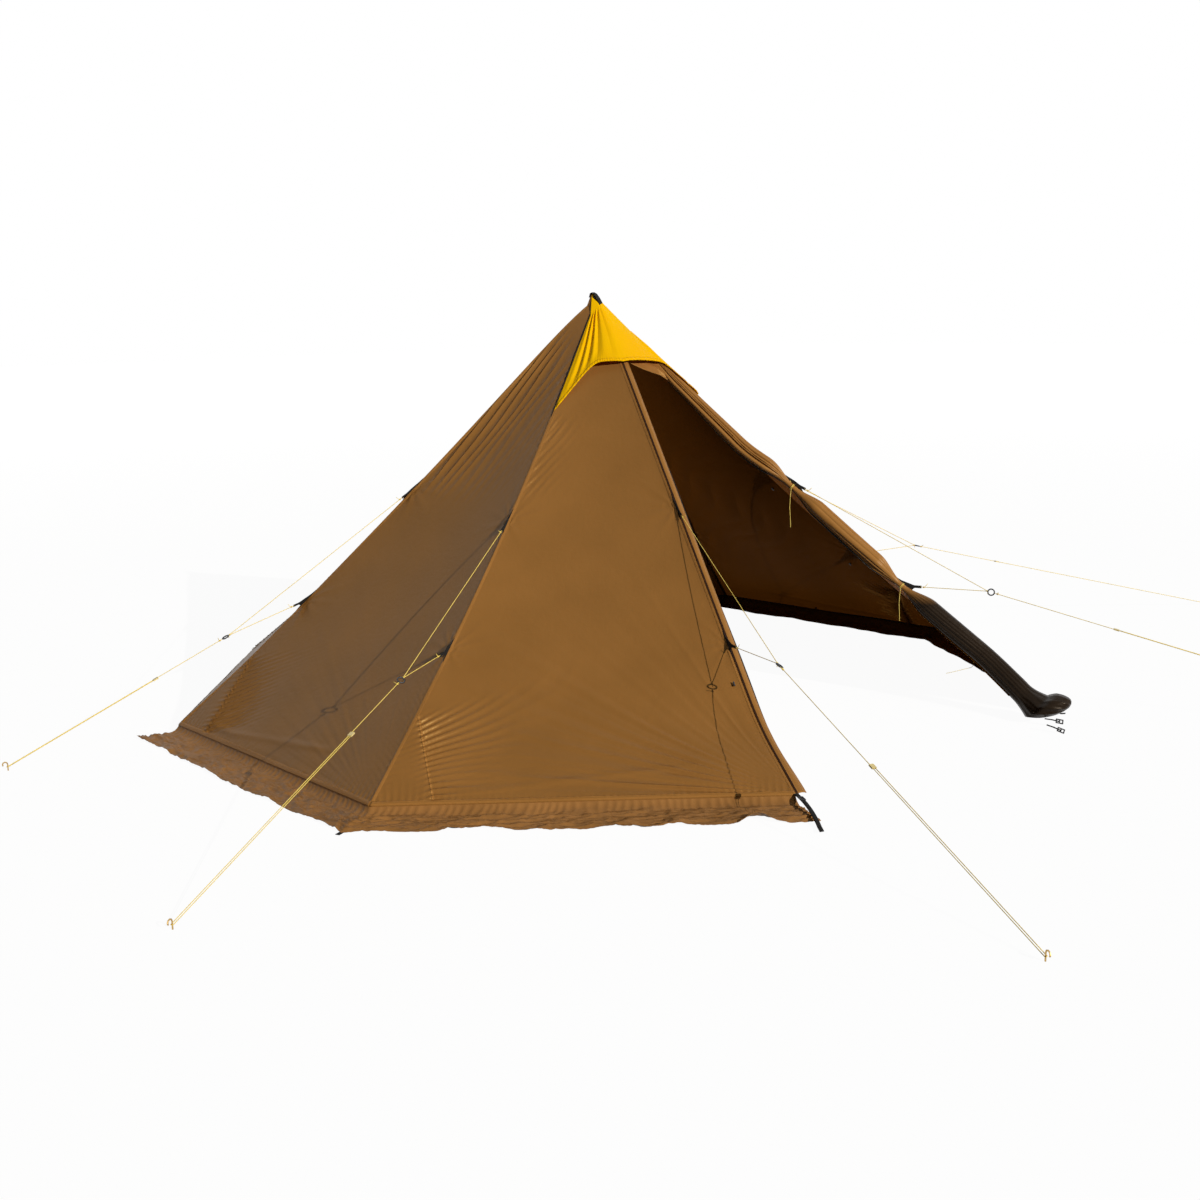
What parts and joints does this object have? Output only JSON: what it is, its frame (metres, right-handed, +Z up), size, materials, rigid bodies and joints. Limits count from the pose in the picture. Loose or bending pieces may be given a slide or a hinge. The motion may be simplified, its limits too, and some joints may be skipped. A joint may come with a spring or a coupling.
{
  "type": "one-pole tent",
  "caption": "Eight-sided one-pole tent with its door panel rolled up and tied, a vent hood at the apex, a snow skirt, and guy lines with tensioners run to pegs.",
  "frame": {"origin": "centre of the pole's foot, on the ground under the apex", "axes": "+Z up the pole; the doorway faces -Y, with the rolled door at its +X side"},
  "size_m": [7.4359, 7.1402, 2.1023],
  "materials": {
    "canopy_cloth": "coated ripstop cloth",
    "hood_cloth": "coated ripstop cloth",
    "black_webbing": "woven webbing",
    "black_plastic": "moulded",
    "yellow_cord": "braided cord",
    "pole_metal": "drawn, satin",
    "peg_metal": "anodised rod"
  },
  "bodies": {
    "root": {"apex_cap": "black_webbing", "apex_loop": "black_webbing", "corner_buckle_2": "black_plastic", "corner_buckle_3": "black_plastic", "door_roll": "canopy_cloth", "door_storm_flap": "canopy_cloth", "door_tie_lower": "yellow_cord", "door_tie_upper": "yellow_cord", "door_zip_coil": "black_plastic", "door_zip_tape": "black_webbing", "guy_bridle_0": "yellow_cord", "guy_bridle_1": "yellow_cord", "guy_bridle_2": "yellow_cord", "guy_bridle_3": "yellow_cord", "guy_bridle_4": "yellow_cord", "guy_bridle_5": "yellow_cord", "guy_bridle_6": "yellow_cord", "guy_line_0": "yellow_cord", "guy_line_1": "yellow_cord", "guy_line_2": "yellow_cord", "guy_line_3": "yellow_cord", "guy_line_4": "yellow_cord", "guy_line_5": "yellow_cord", "guy_line_6": "yellow_cord", "guy_peg_0": "peg_metal", "guy_peg_1": "peg_metal", "guy_peg_2": "peg_metal", "guy_peg_3": "peg_metal", "guy_peg_4": "peg_metal", "guy_peg_5": "peg_metal", "guy_peg_6": "peg_metal", "pole_tip": "black_plastic", "pole_upper_tube": "pole_metal", "snow_skirt_back": "canopy_cloth", "snow_skirt_front": "canopy_cloth", "vent_hood": "hood_cloth", "wall_back": "canopy_cloth", "wall_back_left": "canopy_cloth", "wall_back_right": "canopy_cloth", "wall_front_left": "canopy_cloth", "wall_front_right": "canopy_cloth", "wall_left": "canopy_cloth", "wall_right": "canopy_cloth"},
    "zip_slider": {"door_zip_slider": "black_plastic", "door_zip_pull": "black_plastic"},
    "pole_lower": {"pole_lower_tube": "pole_metal", "pole_foot": "black_plastic"},
    "lock_collar": {"pole_lock_collar": "black_plastic"},
    "tensioner_0": {"line_tensioner_0": "black_plastic"},
    "tensioner_1": {"line_tensioner_1": "black_plastic"},
    "tensioner_2": {"line_tensioner_2": "black_plastic"},
    "tensioner_3": {"line_tensioner_3": "black_plastic"},
    "tensioner_4": {"line_tensioner_4": "black_plastic"},
    "tensioner_5": {"line_tensioner_5": "black_plastic"},
    "tensioner_6": {"line_tensioner_6": "black_plastic"}
  },
  "joints": [
    {"name": "zip_slide", "type": "slide", "parent": "root", "child": "zip_slider", "axis": [-0.2959, -0.6553, -0.695], "range_m": [0, 1.98]},
    {"name": "pole_slide", "type": "slide", "parent": "root", "child": "pole_lower", "axis": [0, 0, 1], "range_m": [0, 0.6]},
    {"name": "collar_turn", "type": "hinge", "parent": "root", "child": "lock_collar", "pos_m": [0, 0, 1.02], "axis": [0, 0, 1], "range_deg": [0, 120]},
    {"name": "tensioner_slide_0", "type": "slide", "parent": "root", "child": "tensioner_0", "axis": [0.8658, -0.2658, 0.4238], "range_m": [0, 0.3]},
    {"name": "tensioner_slide_1", "type": "slide", "parent": "root", "child": "tensioner_1", "axis": [0.8885, 0.336, 0.3126], "range_m": [0, 0.3]},
    {"name": "tensioner_slide_2", "type": "slide", "parent": "root", "child": "tensioner_2", "axis": [0.3904, 0.8745, 0.2878], "range_m": [0, 0.3]},
    {"name": "tensioner_slide_3", "type": "slide", "parent": "root", "child": "tensioner_3", "axis": [-0.4112, 0.8749, 0.2557], "range_m": [0, 0.3]},
    {"name": "tensioner_slide_4", "type": "slide", "parent": "root", "child": "tensioner_4", "axis": [-0.9018, 0.3592, 0.2404], "range_m": [0, 0.3]},
    {"name": "tensioner_slide_5", "type": "slide", "parent": "root", "child": "tensioner_5", "axis": [-0.8862, -0.3698, 0.2792], "range_m": [0, 0.3]},
    {"name": "tensioner_slide_6", "type": "slide", "parent": "root", "child": "tensioner_6", "axis": [-0.3616, -0.8647, 0.3487], "range_m": [0, 0.3]}
  ]
}
